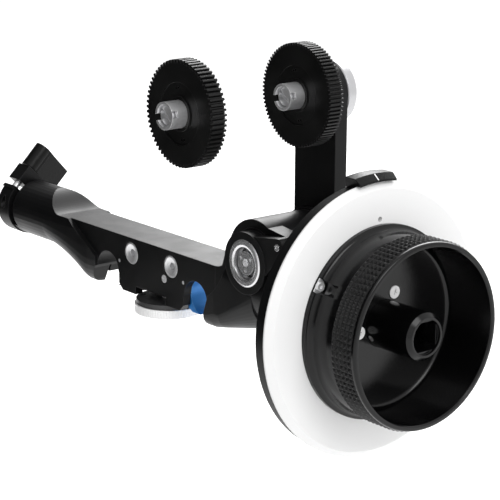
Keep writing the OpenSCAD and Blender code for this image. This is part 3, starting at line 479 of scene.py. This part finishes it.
# The knob's outline: spigot and flange, the cove up to the waist, a neck, the knurl's core, a
# step, the round lip, the dish's wall and the round corner of its floor
chamfer = 0.4 * MM
cove_depth, cove_length = 2.2 * MM, 4.6 * MM
neck = 0.3 * MM
step = 0.6 * MM
lip_radius = 1 * MM
corner_radius = 2 * MM
outline = [(hub_r + play, knob_low.x), (spigot_r, knob_low.x), (spigot_r, face_x + play),
           (flange_r, face_x + play), (flange_r, flange_edge)]
outline += arc(flange_r - chamfer, cove_end, -cove_depth, cove_length, -90, 0, 10)
outline += [(waist_r, grip_x - 1 * MM), (waist_r - neck, grip_x - neck), (core_r, grip_x),
            (core_r, grip_end), (grip_r - step, grip_end + 0.1 * MM)]
outline += arc(grip_r - 1.6 * MM, lip_x - lip_radius, lip_radius, lip_radius, 0, 90, 6)
outline += [(dish_r + 0.9 * MM, lip_x), (dish_r + 0.4 * MM, lip_x - step)]
outline += arc(dish_r - corner_radius, floor_x + corner_radius, corner_radius, corner_radius, 0, -90, 8)
outline += [(hub_r + play, floor_x)]

# The recesses for the floor's screws and the pockets for the flange's screws
recess_r, recess_reach, recess_depth = 2.45 * MM, 12 * MM, 1.6 * MM
pocket_r, pocket_reach, pocket_floor = 2.8 * MM, flange_r - 1 * MM, face_x + 0.8 * MM
floor_turns, flange_turns = (67, 187, 307), (28, 148, 268)
recesses = [(recess_r, recess_reach, turn, floor_x - recess_depth, floor_x + 1 * MM) for turn in floor_turns]
pockets = [(pocket_r, pocket_reach, turn, pocket_floor, face_x + 9 * MM) for turn in flange_turns]
dish = drilled(turned_mesh("dished_knob", outline), recesses + pockets)
knob = add_piece("dished_knob", dish, "handwheel")
knob_black = finish("knob_black", (0.002, 0.002, 0.0022), (0.02, 0.02, 0.021), 0.14, 0.03, edge=0.25,
                    specular=0.28)
knob.data.materials.append(knob_black)
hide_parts("knob_body")


# ---- Knurl. Rows of small square pyramids, cut into the knob's band so that it grips. They
# stand on the band's core in straight rows along and round the knob.
def ring_of_copies():
    """Rows of copies of a piece, each row a ring about the X axis."""
    group = bpy.data.node_groups.new("ring_of_copies", "GeometryNodeTree")
    sockets = {}
    for label, kind in (("Copies", "Int"), ("Rows", "Int"), ("Radius", "Float"), ("First Row", "Float"),
                        ("Row Pitch", "Float"), ("Piece", "Object"), ("Finish", "Material")):
        sockets[label] = group.interface.new_socket(label, in_out="INPUT", socket_type="NodeSocket" + kind)
    group.interface.new_socket("Geometry", in_out="OUTPUT", socket_type="NodeSocketGeometry")
    given = group.nodes.new("NodeGroupInput").outputs
    index = group.nodes.new("GeometryNodeInputIndex").outputs["Index"]
    row = math_node(group, "FLOOR", math_node(group, "DIVIDE", index, given["Copies"]))
    column = math_node(group, "SUBTRACT", index, math_node(group, "MULTIPLY", row, given["Copies"]))
    angle = math_node(group, "MULTIPLY", math_node(group, "DIVIDE", column, given["Copies"]), math.tau)
    along = math_node(group, "ADD", math_node(group, "MULTIPLY", row, given["Row Pitch"]), given["First Row"])
    place = group.nodes.new("ShaderNodeCombineXYZ")
    wire(group, along, place.inputs["X"])
    inward = math_node(group, "MULTIPLY", given["Radius"], -1.0)
    across = math_node(group, "MULTIPLY", math_node(group, "SINE", angle), inward)
    height = math_node(group, "MULTIPLY", math_node(group, "COSINE", angle), given["Radius"])
    wire(group, across, place.inputs["Y"])
    wire(group, height, place.inputs["Z"])
    tilt = group.nodes.new("ShaderNodeCombineXYZ")
    wire(group, angle, tilt.inputs["X"])
    points = group.nodes.new("GeometryNodePoints")
    wire(group, math_node(group, "MULTIPLY", given["Copies"], given["Rows"]), points.inputs["Count"])
    wire(group, place.outputs["Vector"], points.inputs["Position"])
    piece = group.nodes.new("GeometryNodeObjectInfo")
    wire(group, given["Piece"], piece.inputs["Object"])
    copies = group.nodes.new("GeometryNodeInstanceOnPoints")
    wire(group, points.outputs[0], copies.inputs["Points"])
    wire(group, piece.outputs["Geometry"], copies.inputs["Instance"])
    wire(group, tilt.outputs["Vector"], copies.inputs["Rotation"])
    real = group.nodes.new("GeometryNodeRealizeInstances")
    wire(group, copies.outputs[0], real.inputs[0])
    painted = group.nodes.new("GeometryNodeSetMaterial")
    wire(group, real.outputs[0], painted.inputs["Geometry"])
    wire(group, given["Finish"], painted.inputs["Material"])
    wire(group, painted.outputs[0], group.nodes.new("NodeGroupOutput").inputs["Geometry"])
    return group, {label: socket.identifier for label, socket in sockets.items()}


ring_tree, ring_socket = ring_of_copies()


def ring_piece(name, seed_mesh, body, slot, to_frame, **values):
    """Copies a small mesh round the X axis, and turns the result into one plain piece."""
    seed = linked_object(name + "_seed", seed_mesh)
    holder = linked_object(name + "_rings", bpy.data.meshes.new(name + "_rings"))
    maker = holder.modifiers.new("rings", "NODES")
    maker.node_group = ring_tree
    for label, value in values.items():
        maker[ring_socket[label.replace("_", " ").title()]] = value
    maker[ring_socket["Piece"]] = seed
    bpy.context.view_layer.update()
    ready = holder.evaluated_get(bpy.context.evaluated_depsgraph_get())
    mesh = bpy.data.meshes.new_from_object(ready)
    mesh.name = name
    holder.modifiers.remove(maker)
    bpy.data.objects.remove(holder)
    bpy.data.objects.remove(seed)
    mesh.transform(to_frame)
    return add_piece(name, mesh, body)


def stud_mesh(name, half_x, half_y, height, top):
    """A low square pyramid with a small flat top, standing along +Z, its sides along X and Y."""
    foot = -0.15 * MM
    ring = ((1, 1), (-1, 1), (-1, -1), (1, -1))
    points = [(half_x * x, half_y * y, foot) for x, y in ring]
    points += [(half_x * x, half_y * y, 0) for x, y in ring]
    points += [(half_x * top * x, half_y * top * y, height) for x, y in ring]
    faces = [(3, 2, 1, 0), (8, 9, 10, 11)]
    faces += [(base + k, base + (k + 1) % 4, base + (k + 1) % 4 + 4, base + k + 4)
              for base in (0, 4) for k in range(4)]
    mesh = bpy.data.meshes.new(name)
    mesh.from_pydata(points, [], faces)
    return mesh


knurl_copies = 100
knurl_rows = 5
row_pitch = (grip_end - grip_x) / knurl_rows
stud_half_x = row_pitch * 0.46
stud_half_y = math.pi * core_r / knurl_copies * 0.93
stud_height = 0.58 * MM
stud_top = 0.2
knurl_black = finish("knurl_black", (0.004, 0.004, 0.0043), (0.02, 0.02, 0.02), 0.30, 0.05, edge=0.1,
                     specular=0.22)
knurl_stud = stud_mesh("knurl_stud", stud_half_x, stud_half_y, stud_height, stud_top)
ring_piece("knurl", knurl_stud, "handwheel", "black_knob", to_wheel, copies=knurl_copies, rows=knurl_rows,
           radius=core_r, first_row=grip_x + row_pitch / 2, row_pitch=row_pitch, finish=knurl_black)

# ---- Crank hub. The black post in the middle of the knob, with a square socket for a speed
# crank and a bolt at its bottom that holds the knob on its shaft.
dress(knob_black, "crank_hub")

# ---- Screws of the handwheel: three white cross screws in the knob's floor, three steel screws
# in the flange's pockets and one set screw in the hub.
white_paint = finish("white_paint", (0.82, 0.82, 0.82), (0.86, 0.86, 0.86), 0.35, 0.04,
                     grain_height=0.004, edge=0.1)
dress(white_paint, "floor_screws", "index_mark")
dress(bright_steel, "flange_screws", "hub_set_screw")

# ---- Index ring. A black ring behind the disc that turns on the tube's cap, with the block
# that carries the white index mark over the disc's rim.
dress(black_anodised, "index_ring")
dress(wing_black, "index_block")

# ---- Swing arm. A slim black box with a gear train inside, on the rear of the housing. Its
# cover closes the back with four small screws.
dress(black_anodised, "arm_body", "arm_cover")

# ---- Lens gears. Black moulded gears with fine teeth, each on a bright steel collet with two
# notches and a slotted screw. One is mounted on the arm and one lies ready as a spare.
gear_black = finish("gear_black", (0.004, 0.004, 0.004), (0.02, 0.02, 0.02), 0.36, 0.06, grain=2000,
                    grain_height=0.02, edge=0.15, specular=0.2)
dress(gear_black, "lens_gear", "spare_gear")
for name in ("lens_gear", "spare_gear"):
    collet = turned_finish(name + "_collet_steel", steel, (0.9, 0.9, 0.9), 0.36, middle(name + "_hub"),
                           port_axis, grain_height=0.003, edge=0.15, metallic=0.82)
    dress(collet, name + "_hub", name + "_screw")

# ---- Lock knob. A turned aluminium disc behind the arm. It turns on the end of the lens gear's
# shaft and clamps the gear on it.
lock_alu = finish("lock_knob_aluminium", (0.5, 0.5, 0.51), (0.8, 0.8, 0.8), 0.34, 0.06, grain_height=0.006,
                  edge=0.2, metallic=0.9)
dress(lock_alu, "lock_knob")
